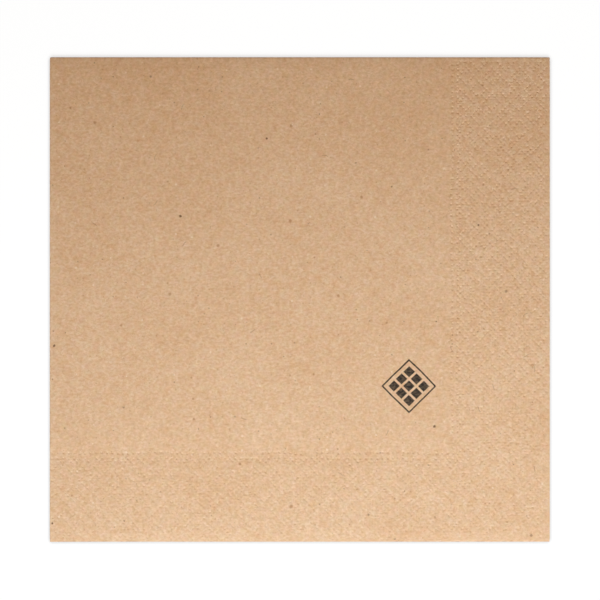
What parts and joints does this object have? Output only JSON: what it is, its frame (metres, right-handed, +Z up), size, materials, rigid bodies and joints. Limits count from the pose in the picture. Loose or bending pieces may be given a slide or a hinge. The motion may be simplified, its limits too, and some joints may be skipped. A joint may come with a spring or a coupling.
{
  "type": "paper napkin",
  "caption": "Brown tissue paper napkin folded twice into a flat quarter, with loop folds at the left and back and raw embossed edges at the right and front.",
  "frame": {"origin": "under the middle of the folded napkin, on the surface that it rests on", "axes": "+Z up, +X along the folded width towards the raw right edge, +Y along the folded length towards the second fold"},
  "size_m": [0.165, 0.16, 0.0016],
  "materials": {
    "kraft_tissue": "matt unbleached tissue"
  },
  "bodies": {
    "root": {"folded_sheet": "kraft_tissue"}
  },
  "joints": []
}
